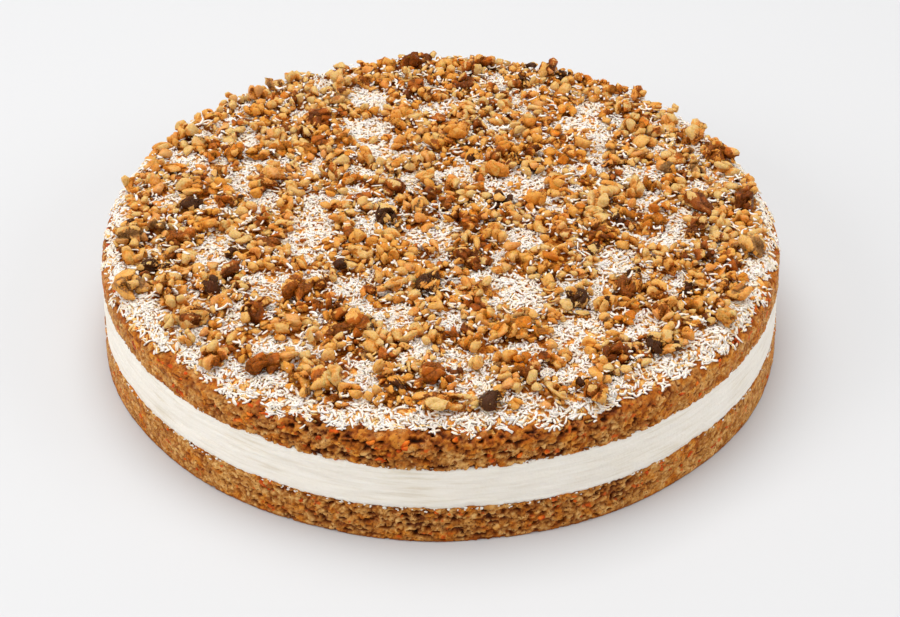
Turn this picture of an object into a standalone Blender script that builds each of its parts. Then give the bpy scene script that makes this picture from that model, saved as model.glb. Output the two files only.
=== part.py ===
"""Carrot cake: two thin rounds of carrot sponge with a cream layer between them,
topped with desiccated coconut and chopped walnuts.

Blender 4.5 script, in metres, +Z up. The origin is the middle of the flat
underside. The pieces are stacked as the cake is made: sponge, cream, sponge,
the bed of coconut and chopped nuts, and the largest walnut pieces on top.
"""

import math

import bpy
import numpy as np

# The cake's driving sizes
CAKE_RADIUS = 0.140  # at its base
SIDE_LEAN = 0.05  # how far the side leans in for each unit of height
BOTTOM_SPONGE_HEIGHT = 0.0150
CREAM_HEIGHT = 0.0180
TOP_SPONGE_HEIGHT = 0.0130
SHOULDER_WIDTH = 0.0075  # how far in the top sponge's baked, rounded edge starts
SHOULDER_HEIGHT = 0.0050
DOME_RISE = 0.0004  # how much higher the middle of the top sponge is than its edge
BASE_EDGE_ROUND = 0.0007
CUT_EDGE_ROUND = 0.0005
GAP = 0.0003  # clearance kept between pieces that touch

# Slow waves in the round outline and in the lines between layers
OUTLINE_PHASE = -1.4
LOWER_LINE = 0.4
UPPER_LINE = 2.6

# The loose topping
BED_RIM_INSET = 0.0034  # mean distance from the shoulder's edge to the coconut's edge
BED_RIM_SCALLOP = 0.0016
BED_EDGE_THICKNESS = 0.0009
BED_THICKNESS = 0.0018  # the coconut alone, in the hollows where the large pieces lie
BED_EDGE_RUN = 0.0100  # how far in from its edge the bed reaches its full thickness
BED_HEAP_HEIGHT = 0.0036  # the chopped nuts heaped between the large pieces
BED_HOLLOW = 0.0070  # clear space kept round each large piece before the heaps rise
BED_HEAP_RUN = 0.0090  # how far it then takes them to rise
BED_GAP = 0.00042  # over the curved shoulder, where facets cut the corner a little

# Fineness of the meshes
SEGMENTS = 64
SHOULDER_ROWS = 4
BED_ROWS = 14
BED_ROW_SPREAD = 0.85  # under 1 packs the rows closer towards the edge
WALNUT_SEGMENTS = 10
WALNUT_BANDS = 6

# The large walnut pieces, each by its place to the right of the middle and behind it, its
# length, width and height in millimetres, and the turn of its length in degrees
WALNUTS = [
    # along the front
    (2, -123, 18, 12, 7, -5),
    (18, -121, 10, 8, 7, 60),
    (-3, -105, 12, 10, 8, 50),
    (-41, -110, 15, 12, 9, 70),
    (-65, -100, 14, 10, 8, 20),
    (-84, -96, 12, 10, 8, 75),
    (56, -116, 11, 9, 8, 70),
    (66, -94, 13, 11, 8, -20),
    (83, -89, 14, 11, 8, -10),
    # in front of the middle
    (-37, -75, 18, 14, 9, 25),
    (-55, -54, 14, 11, 9, 80),
    (-71, -71, 13, 9, 9, 80),
    (-82, -40, 12, 7, 7, 75),
    (-5, -50, 13, 10, 8, 80),
    (16, -54, 13, 9, 7, 80),
    (11, -33, 14, 11, 8, 20),
    (12, -9, 10, 9, 8, 90),
    (27, -79, 17, 14, 8, 70),
    (52, -60, 10, 9, 9, 80),
    (72, -52, 12, 11, 8, 70),
    (85, -65, 12, 9, 8, 80),
    # on the left
    (-93, -71, 13, 10, 8, 40),
    (-107, -52, 12, 9, 8, 80),
    (-120, -50, 15, 11, 8, -35),
    (-113, -37, 14, 6, 6, 12),
    (-124, -16, 13, 10, 8, 10),
    (-104, -17, 12, 11, 8, 0),
    (-102, 19, 16, 12, 8, 15),
    (-111, 63, 13, 11, 9, 60),
    (-88, 47, 11, 9, 8, 70),
    # on the right
    (108, -71, 9, 8, 8, 90),
    (104, -30, 12, 9, 8, 85),
    (103, -11, 14, 8, 8, 60),
    (124, -24, 13, 11, 9, 80),
    (106, 7, 18, 9, 8, -55),
    (125, 9, 13, 9, 9, 70),
    (120, 44, 15, 12, 9, -30),
    (109, 64, 16, 12, 9, 60),
    (85, 69, 14, 12, 9, 70),
    (65, 10, 15, 10, 8, 80),
    # behind the middle
    (-22, -3, 12, 9, 8, 85),
    (-71, 26, 15, 12, 9, 10),
    (-53, 75, 13, 10, 8, 45),
    (-82, 96, 12, 9, 10, 40),
    (-14, 126, 12, 10, 9, 10),
    (19, 125, 13, 9, 9, 20),
    (48, 116, 12, 9, 10, 60),
    (7, 64, 14, 11, 9, 80),
]
WALNUT_LOBES = 5

ANGLES = np.arange(SEGMENTS) * 2 * math.pi / SEGMENTS


def food_material(name, colour, roughness):
    """A plain Principled material of one colour."""
    material = bpy.data.materials.new(name)
    material.use_nodes = True
    shader = material.node_tree.nodes["Principled BSDF"]
    shader.inputs["Base Color"].default_value = (*colour, 1)
    shader.inputs["Roughness"].default_value = roughness
    shader.inputs["Metallic"].default_value = 0
    return material


def add_piece(name, points, faces, material):
    """Makes one closed mesh object, shaded smooth, with its place in its mesh."""
    mesh = bpy.data.meshes.new(name)
    mesh.from_pydata(points.tolist(), [], faces)
    mesh.materials.append(material)
    mesh.shade_smooth()
    piece = bpy.data.objects.new(name, mesh)
    bpy.context.scene.collection.objects.link(piece)
    return piece


def closed_rounds(points, rows, segments):
    """Faces for rows of points running up from one pole to the other.

    The first point is the lower pole, then come the rows, and the last point is the upper
    pole. Each row has the same number of points, counted anticlockwise from above.
    """
    top = len(points) - 1
    faces = []
    for step in range(segments):
        after = (step + 1) % segments
        faces.append((0, 1 + after, 1 + step))
        for row in range(rows - 1):
            low = 1 + row * segments
            high = low + segments
            faces.append((low + step, low + after, high + after, high + step))
        last = 1 + (rows - 1) * segments
        faces.append((last + step, last + after, top))
    return faces


def outline(angle):
    """The cake's outline as a share of its radius: 1 and three slow waves added up."""
    wave = 0.0032 * np.sin(2 * angle + OUTLINE_PHASE)
    wave += 0.0016 * np.sin(5 * angle + 2.1 * OUTLINE_PHASE)
    wave += 0.0010 * np.sin(11 * angle + 3.7 * OUTLINE_PHASE)
    return 1 + wave


def level_wave(angle, phase):
    """How far a layer's edge line rises or dips at an angle, two waves added up."""
    return 0.00030 * np.sin(3 * angle + phase) + 0.00022 * np.sin(8 * angle + 1.9 * phase)


def layer(name, profile, material):
    """One layer: rows of (radius, height, share of the line's wave, its phase)."""
    edge = outline(ANGLES)
    rows = []
    for radius, height, share, line_phase in profile:
        reach = radius * edge
        level = height + share * level_wave(ANGLES, line_phase)
        rows.append(np.stack([reach * np.cos(ANGLES), reach * np.sin(ANGLES), level], 1))
    low = [[0, 0, profile[0][1]]]
    high = [[0, 0, profile[-1][1]]]
    points = np.concatenate([low, *rows, high])
    return add_piece(name, points, closed_rounds(points, len(rows), SEGMENTS), material)


# Heights of the joins between layers, and how far out the top sponge's shoulder starts
CREAM_BASE = BOTTOM_SPONGE_HEIGHT
CREAM_TOP = CREAM_BASE + CREAM_HEIGHT
SPONGE_TOP = CREAM_TOP + TOP_SPONGE_HEIGHT
SHOULDER_RADIUS = CAKE_RADIUS - SIDE_LEAN * (SPONGE_TOP - SHOULDER_HEIGHT)


def side(height, share=0, line_phase=0):
    """A profile row on the leaning side of the cake."""
    return (CAKE_RADIUS - SIDE_LEAN * height, height, share, line_phase)


def flat_join(height, line_phase, inward=0.035):
    """Two rows for a join: flat inside, and following the layer's edge line outside."""
    radius = side(height)[0]
    return [
        (radius - inward, height, 0, line_phase),
        (radius - CUT_EDGE_ROUND, height, 1, line_phase),
    ]


def bottom_sponge():
    """Flat underside with a small rounded base edge, upright side, cut top."""
    top = CREAM_BASE - GAP / 2
    profile = [
        (CAKE_RADIUS - BASE_EDGE_ROUND, 0, 0, 0),
        side(BASE_EDGE_ROUND),
        side(top / 2, 0.5, LOWER_LINE),
        side(top - CUT_EDGE_ROUND, 1, LOWER_LINE),
        *reversed(flat_join(top, LOWER_LINE)),
    ]
    material = food_material("bottom sponge", (0.38, 0.20, 0.085), 0.85)
    return layer("bottom_sponge", profile, material)


def cream_filling():
    """The cream runs right through the cake and is levelled off flush with the sponge."""
    base = CREAM_BASE + GAP / 2
    top = CREAM_TOP - GAP / 2
    profile = [
        *flat_join(base, LOWER_LINE),
        side(base + CUT_EDGE_ROUND, 1, LOWER_LINE),
        side(top - CUT_EDGE_ROUND, 1, UPPER_LINE),
        *reversed(flat_join(top, UPPER_LINE)),
    ]
    material = food_material("cream", (0.86, 0.83, 0.75), 0.45)
    return layer("cream_filling", profile, material)


def sponge_surface(radius):
    """Height of the top sponge: a very low dome, then a quarter ellipse down its shoulder."""
    flat_edge = SHOULDER_RADIUS - SHOULDER_WIDTH
    dome = DOME_RISE * (1 - np.minimum(radius / flat_edge, 1) ** 2)
    along = np.clip((radius - flat_edge) / SHOULDER_WIDTH, 0, 1)
    drop = SHOULDER_HEIGHT * (1 - np.sqrt(1 - along**2))
    return SPONGE_TOP + dome - drop


def top_sponge():
    """Cut underside, upright side, rounded shoulder and low domed top."""
    base = CREAM_TOP + GAP / 2
    side_top = SPONGE_TOP - SHOULDER_HEIGHT
    profile = [
        *flat_join(base, UPPER_LINE),
        side(base + CUT_EDGE_ROUND, 1, UPPER_LINE),
        side(side_top),
    ]
    for row in range(1, SHOULDER_ROWS + 1):
        turn = math.pi / 2 * row / SHOULDER_ROWS
        radius = SHOULDER_RADIUS - SHOULDER_WIDTH * (1 - math.cos(turn))
        height = side_top + SHOULDER_HEIGHT * math.sin(turn)
        profile.append((radius, height, 0, 0))
    for radius in (0.090, 0.040):
        profile.append((radius, float(sponge_surface(radius)), 0, 0))
    material = food_material("top sponge", (0.38, 0.20, 0.085), 0.85)
    return layer("top_sponge", profile, material)


def heaps(x, y, walnuts):
    """How high the chopped nuts are heaped, 0 to 1: crossing waves, low by a large piece."""
    ridges = np.sin(x / 0.0058 + 1.7 * np.sin(y / 0.0110)) * np.sin(y / 0.0067 + 0.6)
    swell = np.sin(x / 0.0150 - y / 0.0093 + 2.0)
    height = 0.55 + 0.30 * ridges + 0.15 * swell
    for place, size, _ in walnuts:
        away = np.hypot(x - place[0], y - place[1]) - size[0] / 2 - BED_HOLLOW
        height = height * np.clip(away / BED_HEAP_RUN, 0, 1)
    return height


def bed_points(walnuts):
    """The topping bed's rows, up the middle of its underside, out, and back over its top."""
    rim = SHOULDER_RADIUS - BED_RIM_INSET
    rim = rim + BED_RIM_SCALLOP * (
        0.5 * np.sin(9 * ANGLES + 0.7) + 0.3 * np.sin(17 * ANGLES) + 0.2 * np.sin(29 * ANGLES)
    )
    edge = outline(ANGLES)
    rows = []
    for share in (0.30, 0.68, 0.94, 0.97, 1.0):
        radius = share * rim
        height = sponge_surface(radius) + BED_GAP
        reach = radius * edge
        rows.append(np.stack([reach * np.cos(ANGLES), reach * np.sin(ANGLES), height], 1))
    for row in range(BED_ROWS, 0, -1):
        radius = (row / BED_ROWS) ** BED_ROW_SPREAD * rim
        reach = radius * edge
        x = reach * np.cos(ANGLES)
        y = reach * np.sin(ANGLES)
        inward = np.clip((rim - radius) / BED_EDGE_RUN, 0, 1)
        rise = inward * (2 - inward)
        thickness = BED_EDGE_THICKNESS + (BED_THICKNESS - BED_EDGE_THICKNESS) * rise
        thickness = thickness + BED_HEAP_HEIGHT * rise * heaps(x, y, walnuts)
        height = sponge_surface(radius) + BED_GAP + thickness
        rows.append(np.stack([x, y, height], 1))
    middle = float(sponge_surface(0.0)) + BED_GAP
    middle_top = middle + BED_THICKNESS + BED_HEAP_HEIGHT * float(heaps(0.0, 0.0, walnuts))
    return np.concatenate([[[0, 0, middle]], *rows, [[0, 0, middle_top]]]), len(rows)


def topping_bed(points, rows):
    """Coconut and chopped nuts, as one solid out to their uneven outline."""
    material = food_material("topping bed", (0.80, 0.66, 0.46), 0.75)
    return add_piece("coconut_nut_bed", points, closed_rounds(points, rows, SEGMENTS), material)


def walnut_places():
    """The place, size and turn of each large piece, in metres and radians."""
    pieces = []
    for right, behind, length, width, height, turn in WALNUTS:
        place = np.array([right, behind]) / 1000
        size = np.array([length, width, height]) / 1000
        pieces.append((place, size, math.radians(turn)))
    return pieces


def lobed_points(size, rng):
    """A knobbly nut piece: along each direction, out to the furthest of several lobes.

    A lobe is a ball with its middle at c and radius r. From the piece's middle, direction u
    leaves it at u.c + sqrt((u.c)^2 - c.c + r^2). The lobes blend as their powers added up.
    """
    turns = np.arange(WALNUT_SEGMENTS) * 2 * math.pi / WALNUT_SEGMENTS
    tilts = math.pi * np.arange(1, WALNUT_BANDS) / WALNUT_BANDS
    rows = [
        np.stack([np.sin(t) * np.cos(turns), np.sin(t) * np.sin(turns), -np.cos(t) + 0 * turns], 1)
        for t in tilts
    ]
    ways = np.concatenate([[[0, 0, -1]], *rows, [[0, 0, 1]]])
    spread = (np.arange(WALNUT_LOBES) + rng.uniform(0, 0.4, WALNUT_LOBES)) * 2 * math.pi / WALNUT_LOBES
    away = rng.uniform(0.35, 0.50, WALNUT_LOBES)
    lift = rng.uniform(-0.10, 0.20, WALNUT_LOBES)
    middles = np.stack([away * np.cos(spread), away * np.sin(spread), lift], 1)
    radii = rng.uniform(0.42, 0.55, WALNUT_LOBES)
    along = ways @ middles.T
    inside = along**2 - (middles**2).sum(1) + radii**2
    reach = np.where(inside > 0, along + np.sqrt(np.maximum(inside, 0)), 0)
    reach = ((np.maximum(reach, 0) ** 6).sum(1) + 0.5**6) ** (1 / 6)
    points = ways * reach[:, None]
    span = points.max(0) - points.min(0)
    return (points - (points.max(0) + points.min(0)) / 2) / span * size


def walnut_pieces(walnuts, bed, rng):
    """The largest walnut pieces, each resting just over the highest bed beneath it."""
    pieces = []
    for number, (place, size, turn) in enumerate(walnuts, 1):
        points = lobed_points(size, rng)
        turned_x = points[:, 0] * math.cos(turn) - points[:, 1] * math.sin(turn)
        turned_y = points[:, 0] * math.sin(turn) + points[:, 1] * math.cos(turn)
        across = np.hypot(*(bed[:, :2] - place).T)
        under = bed[across < size[0] / 2 + BED_HOLLOW, 2].max()
        height = points[:, 2] - points[:, 2].min() + under + GAP
        points = np.stack([turned_x + place[0], turned_y + place[1], height], 1)
        shade = rng.uniform(0.55, 1.0)
        material = food_material(f"walnut {number:02d}", (0.56 * shade, 0.30 * shade, 0.10 * shade), 0.5)
        faces = closed_rounds(points, WALNUT_BANDS - 1, WALNUT_SEGMENTS)
        pieces.append(add_piece(f"walnut_{number:02d}", points, faces, material))
    return pieces


def centre_over_origin(pieces):
    """Shifts every mesh by the same amount, so that the box's middle is over the origin."""
    coordinates = []
    for piece in pieces:
        flat = np.empty(len(piece.data.vertices) * 3, np.float32)
        piece.data.vertices.foreach_get("co", flat)
        coordinates.append(flat.reshape(-1, 3).astype(float))
    everything = np.concatenate(coordinates)
    middle = (everything.max(0) + everything.min(0)) / 2
    for piece, points in zip(pieces, coordinates):
        points[:, :2] -= middle[:2]
        piece.data.vertices.foreach_set("co", points.ravel())
        piece.data.update()


for old in list(bpy.data.objects):
    bpy.data.objects.remove(old, do_unlink=True)

random = np.random.default_rng(18)
walnuts = walnut_places()
bed, bed_rows = bed_points(walnuts)
centre_over_origin(
    [
        bottom_sponge(),
        cream_filling(),
        top_sponge(),
        topping_bed(bed, bed_rows),
        *walnut_pieces(walnuts, bed, random),
    ]
)
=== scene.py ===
"""A round carrot cake on a plain pale floor: two thin rounds of carrot sponge with a
level layer of cream between them, strewn with desiccated coconut and chopped walnuts.

The sections follow the cake as it is put together: sponge, cream, sponge, the carrot in
the crumb, the topping's bed, the large walnut pieces, the chopped ones, the coconut and
then the studio. Lengths are in metres.
"""

import math

import bpy
import numpy as np
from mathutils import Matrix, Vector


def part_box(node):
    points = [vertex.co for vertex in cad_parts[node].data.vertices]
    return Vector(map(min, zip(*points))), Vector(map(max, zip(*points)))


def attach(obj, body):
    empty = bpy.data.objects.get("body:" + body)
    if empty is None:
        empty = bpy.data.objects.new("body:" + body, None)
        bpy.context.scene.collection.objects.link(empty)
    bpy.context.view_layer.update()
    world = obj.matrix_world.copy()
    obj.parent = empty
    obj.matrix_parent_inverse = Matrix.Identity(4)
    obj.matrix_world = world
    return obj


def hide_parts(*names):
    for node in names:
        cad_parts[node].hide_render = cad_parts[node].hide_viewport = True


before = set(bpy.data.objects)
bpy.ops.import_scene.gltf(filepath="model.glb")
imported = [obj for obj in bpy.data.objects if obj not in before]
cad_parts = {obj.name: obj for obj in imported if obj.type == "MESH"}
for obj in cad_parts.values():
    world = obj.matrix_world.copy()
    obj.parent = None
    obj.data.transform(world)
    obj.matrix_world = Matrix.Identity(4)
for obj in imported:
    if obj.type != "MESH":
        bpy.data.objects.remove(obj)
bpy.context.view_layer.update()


# ---------------------------------------------------------------------------------------
# The lower sponge. A thin round of carrot cake, moist and open in its crumb, cut level on
# top and baked to a thin brown skin underneath. Its side is rounded grains of crumb, with
# amber gaps and dark pits between them, darkened partly by painted shade, and a few long
# level cracks.

base_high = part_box("bottom_sponge")[1]
cream_low, cream_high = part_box("cream_filling")
upper_low, upper_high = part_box("top_sponge")
LOWER_JOIN = (base_high.z + cream_low.z) / 2
UPPER_JOIN = (cream_high.z + upper_low.z) / 2
JOIN_GAP = 0.0002  # between a sponge and the middle of its join
OUTLINE_PHASE = -1.4  # this and the next two set where the slow waves round the cake lie
LOWER_LINE = 0.4
UPPER_LINE = 2.6
SIDE_LEAN = 0.05  # how far the side leans in for each unit of height
CAKE_RADIUS = 0.1400
FLAT_RADIUS = CAKE_RADIUS - 0.0300  # inside it a layer's underside and top are plain flats
SIDE_COLUMNS = 2160
SIDE_STEP = 0.00042  # between rows of points, as it is between columns
COARSE_GRAIN = 0.0023
FINE_GRAIN = 0.0012
GRAIN_HEIGHT = 0.0013
FINE_GRAIN_HEIGHT = 0.00050
PIT_SPACING = 0.0040
PIT_DEPTH = 0.0022
CRACK_SPACING = 0.0078
CRACK_DEPTH = 0.0018
CRUMB_SINK = 0.0002  # the mean surface of the crumb lies this far in
SKIN_HEIGHT = 0.0011  # the browned skin at the foot of the lower sponge
TABLE_SIZE = 48  # cells along each side of a noise's block of random numbers, which repeats


def srgb(red, green, blue):
    """A colour as painters mix it, 0 to 255, turned into the linear light of a shader."""
    level = np.array([red, green, blue]) / 255
    return np.where(level <= 0.04045, level / 12.92, ((level + 0.055) / 1.055) ** 2.4)


def soft_noise(points, size, seed):
    """Smooth noise from -1 to 1: random values at the corners of cubes of this size, each
    point blending its cube's eight corners by 3t^2 - 2t^3 along each edge."""
    table = np.random.default_rng(seed).uniform(-1, 1, [TABLE_SIZE] * 3)
    place = np.asarray(points).reshape(-1, 3) / size
    cube = np.floor(place).astype(int)
    share = place - cube
    share = share * share * (3 - 2 * share)
    total = np.zeros(len(place))
    for corner in np.ndindex(2, 2, 2):
        weight = np.prod(np.where(corner, share, 1 - share), axis=1)
        x, y, z = ((cube + corner) % TABLE_SIZE).T
        total += weight * table[x, y, z]
    return total.reshape(np.shape(points)[:-1])


def lumps(points, size, seed):
    """One lump is dropped at random in each cube of this size. For each point: the distance
    to its nearest lump, to the second nearest, and the nearest lump's own random number."""
    rng = np.random.default_rng(seed)
    middles = rng.uniform(0, 1, [TABLE_SIZE] * 3 + [3])
    numbers = rng.uniform(0, 1, [TABLE_SIZE] * 3)
    place = np.asarray(points).reshape(-1, 3) / size
    cube = np.floor(place).astype(int)
    near = np.full(len(place), np.inf)
    second = np.full(len(place), np.inf)
    number = np.zeros(len(place))
    for offset in np.ndindex(3, 3, 3):
        at = cube + offset - 1
        x, y, z = (at % TABLE_SIZE).T
        gap = np.linalg.norm(at + middles[x, y, z] - place, axis=1)
        closer = gap < near
        second = np.where(closer, near, np.minimum(second, gap))
        number = np.where(closer, numbers[x, y, z], number)
        near = np.where(closer, gap, near)
    shape = np.shape(points)[:-1]
    return (near * size).reshape(shape), (second * size).reshape(shape), number.reshape(shape)


def ease(value, low, high):
    """0 below low, 1 above high, and an even S between them."""
    share = np.clip((value - low) / (high - low), 0, 1)
    return share * share * (3 - 2 * share)


def coarseness(points):
    """How open and coarse the crumb is, 0 to 1: most of all at the front, and in patches
    behind, with a fine close crumb on both sides."""
    x, y = points[..., 0], points[..., 1]
    front = -y / np.maximum(np.hypot(x, y), 1e-6)
    front = ease(front + 0.10 * soft_noise(points, 0.012, 8), 0.72, 0.93)
    behind = ease(soft_noise(points, 0.050, 9), 0.15, 0.45) * ease(y, 0.0, 0.04)
    return np.maximum(front, behind)


def crumb_relief(points, shift):
    """Open crumb. For each point: how far it stands out of the mean surface, how open it
    is, from 1 on top of a grain to 0 down in a pit, and its own grain's random number.

    Each grain is a round dome about its own lump, the square root of 1 less the squared
    share of its radius. A pit is a sunken lump with a ragged rim, and a crack is one drawn
    out level. Where the crumb is coarse they are all deeper. Shift moves the pattern.
    """
    coarse = coarseness(points)
    points = points + shift
    bent = points * [1, 1, 1.3] + soft_noise(points, 0.0021, 10)[..., None] * 0.0010
    near, _, number = lumps(bent, COARSE_GRAIN, 11)
    grains = np.sqrt(np.clip(1 - (near / (COARSE_GRAIN * (0.60 + 0.40 * number))) ** 2, 0, 1))
    near, _, fine_number = lumps(bent, FINE_GRAIN, 12)
    fine = np.sqrt(np.clip(1 - (near / (FINE_GRAIN * 0.85)) ** 2, 0, 1))
    ragged = 0.6 * soft_noise(points, 0.0010, 13) + 0.5 * soft_noise(points, 0.0021, 7)
    near, _, chance = lumps(points * [1, 1, 1.7], PIT_SPACING, 14)
    reach = PIT_SPACING * (0.06 + 0.20 * chance + 0.20 * coarse) * (1 + ragged)
    pits = np.where(chance > 0.35 - 0.15 * coarse, 1 - ease(near, 0.35 * reach, reach), 0)
    near, _, chance = lumps(points * [1, 1, 4.8], CRACK_SPACING, 15)
    reach = CRACK_SPACING * (0.10 + 0.40 * chance) * (1 + ragged)
    cracks = np.where(chance > 0.85 - 0.45 * coarse, 1 - ease(near, 0.30 * reach, reach), 0)
    height = GRAIN_HEIGHT * (0.30 + 0.50 * coarse) * (grains - 0.80)
    height += FINE_GRAIN_HEIGHT * (fine - 0.7)
    height += 0.0003 * (soft_noise(points, 0.0090, 16) + soft_noise(points, 0.0032, 17))
    holes = np.maximum(pits, cracks)
    depth = (0.45 + 0.55 * coarse) * np.maximum(PIT_DEPTH * pits, CRACK_DEPTH * cracks)
    openness = 0.30 - 0.12 * coarse + (0.38 + 0.12 * coarse) * grains + 0.32 * fine
    openness *= (1 - holes * (0.75 + 0.25 * coarse)) * (1 - 0.12 * coarse)
    return height * (1 - 0.4 * holes) - depth, openness, 0.6 * number + 0.4 * fine_number


def outline(angle):
    """The cake's outline as a share of its radius: 1 and three slow waves added up."""
    wave = 0.0032 * np.sin(2 * angle + OUTLINE_PHASE)
    wave += 0.0016 * np.sin(5 * angle + 2.1 * OUTLINE_PHASE)
    wave += 0.0010 * np.sin(11 * angle + 3.7 * OUTLINE_PHASE)
    return 1 + wave


def edge_line(angle, phase):
    """How far a layer's edge line rises or dips: two slow waves and a ragged one."""
    slow = 0.00030 * np.sin(3 * angle + phase) + 0.00022 * np.sin(8 * angle + 1.9 * phase)
    around = CAKE_RADIUS * np.stack([np.cos(angle), np.sin(angle), 0 * angle + phase], 1)
    ragged = 0.00034 * soft_noise(around, 0.0016, 18) + 0.00026 * soft_noise(around, 0.0060, 19)
    return slow + ragged + 0.00022 * soft_noise(around, 0.0007, 20)


def side_angles():
    """The angle of each column of points round the cake."""
    return np.arange(SIDE_COLUMNS) * 2 * math.pi / SIDE_COLUMNS


def side_rows(low, high, sink, step):
    """Profile rows up the leaning side, a step apart: radius, height, and the way outwards
    as its share out and up. Sink sets the whole side in."""
    count = int(round((high - low) / step)) + 1
    heights = np.linspace(low, high, count)
    return [(CAKE_RADIUS - SIDE_LEAN * height - sink, height, 1, 0) for height in heights]


def rounded_layer(profile):
    """Points of a layer from its profile, and each one's way outwards."""
    angles = side_angles()
    radius, height, out, up = np.array(profile, float).T[:, :, None]
    reach = radius * outline(angles)
    flat = 0 * angles
    points = np.stack([reach * np.cos(angles), reach * np.sin(angles), height + flat], 2)
    ways = np.stack([out * np.cos(angles), out * np.sin(angles), up + flat], 2)
    return points, ways


def with_poles(rows):
    """A grid of points or values as a list, with its first and last rows' means added as
    the lower and upper pole."""
    grid = rows.reshape(rows.shape[0], rows.shape[1], -1)
    low = grid[0].mean(0, keepdims=True)
    high = grid[-1].mean(0, keepdims=True)
    full = np.concatenate([low, grid.reshape(-1, grid.shape[2]), high])
    return full if rows.ndim == 3 else full[:, 0]


def ring_quads(rings, columns):
    """Quads between closed rings of points, counted from 0 ring by ring."""
    step = np.arange(columns)
    after = (step + 1) % columns
    low = columns * np.arange(rings - 1)[:, None]
    quads = np.stack([low + step, low + after, low + after + columns, low + step + columns], 2)
    return quads.reshape(-1, 4)


def ring_map(lowest, highest, rings, columns):
    """Where each corner of those quads lies on a flat map: the rings unrolled from 0 to 1
    across it, one above the other from the lowest to the highest."""
    step = np.arange(columns) / columns
    after = step + 1 / columns
    level = lowest + (highest - lowest) * np.arange(rings - 1)[:, None] / (rings - 1)
    above = level + (highest - lowest) / (rings - 1)
    corners = [(step, level), (after, level), (after, above), (step, above)]
    return np.stack([np.stack([u + 0 * v, v + 0 * u], 2) for u, v in corners], 2).reshape(-1, 2)


def round_faces(rows, columns):
    """Faces of a closed round: a lower pole, rows of points going up, an upper pole. The
    quads come row by row, then a fan of triangles closes each pole."""
    step = np.arange(columns)
    after = (step + 1) % columns
    last = 1 + columns * (rows - 1)
    lower = np.stack([0 * step, 1 + after, 1 + step], 1)
    upper = np.stack([last + step, last + after, 0 * step + rows * columns + 1], 1)
    return 1 + ring_quads(rows, columns), np.concatenate([lower, upper])


def round_map(rows, columns):
    """The flat map of those faces, with the lower pole at 0 and the upper one at 1."""
    step = np.arange(columns) / columns
    after = step + 1 / columns
    half = step + 0.5 / columns
    flat = 0 * step
    first, last = flat + 1 / (rows + 1), flat + rows / (rows + 1)
    lower = np.stack([half, flat, after, first, step, first], 1)
    upper = np.stack([step, last, after, last, half, flat + 1], 1)
    quads = ring_map(1 / (rows + 1), rows / (rows + 1), rows, columns)
    return np.concatenate([quads, lower.reshape(-1, 2), upper.reshape(-1, 2)])


def in_bands(places, bands):
    """A long strip's map cut into bands laid one above the other. A face is kept whole by
    the band that its first corner is in; each band keeps a little clear of the next."""
    across = places[:, 0] * bands
    band = np.minimum(np.floor(across + 1e-6), bands - 1)
    return np.stack([across - band, (band + 0.02 + 0.96 * places[:, 1]) / bands], 1)


def new_piece(name, points, quads, triangles, material):
    """Puts arrays of points and faces into a smooth-shaded piece that rides on the cake."""
    mesh = bpy.data.meshes.new(name)
    corners = np.concatenate([np.ravel(quads), np.ravel(triangles)]).astype(np.int32)
    sides = np.concatenate([np.full(len(quads), 4), np.full(len(triangles), 3)])
    starts = np.concatenate([[0], np.cumsum(sides)[:-1]])
    mesh.vertices.add(len(points))
    mesh.vertices.foreach_set("co", np.ravel(points).astype(np.float32))
    mesh.loops.add(len(corners))
    mesh.loops.foreach_set("vertex_index", corners)
    mesh.polygons.add(len(sides))
    mesh.polygons.foreach_set("loop_start", starts.astype(np.int32))
    mesh.update(calc_edges=True)
    mesh.shade_smooth()
    mesh.materials.append(material)
    piece = bpy.data.objects.new(name, mesh)
    bpy.context.scene.collection.objects.link(piece)
    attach(piece, "root")
    return piece


def mark(piece, name, values):
    """Stores one number, or one colour of three, at each point of a piece."""
    if np.ndim(values) == 1:
        field = piece.data.attributes.new(name, "FLOAT", "POINT")
        field.data.foreach_set("value", np.asarray(values, np.float32))
    else:
        field = piece.data.attributes.new(name, "FLOAT_COLOR", "POINT")
        full = np.concatenate([values, np.ones((len(values), 1))], 1)
        field.data.foreach_set("color", full.astype(np.float32).ravel())


def lay_flat(piece, places):
    """Gives a piece its own flat map, one place for each corner of its faces."""
    layer = piece.data.uv_layers.new(name="OFBake")
    layer.uv.foreach_set("vector", places.astype(np.float32).ravel())


def round_piece(name, points, material, bands):
    """A whole round layer, from its grid of points, with its map cut into bands."""
    rows, columns = points.shape[:2]
    quads, fans = round_faces(rows, columns)
    piece = new_piece(name, with_poles(points), quads, fans, material)
    lay_flat(piece, in_bands(round_map(rows, columns), bands))
    return piece


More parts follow.
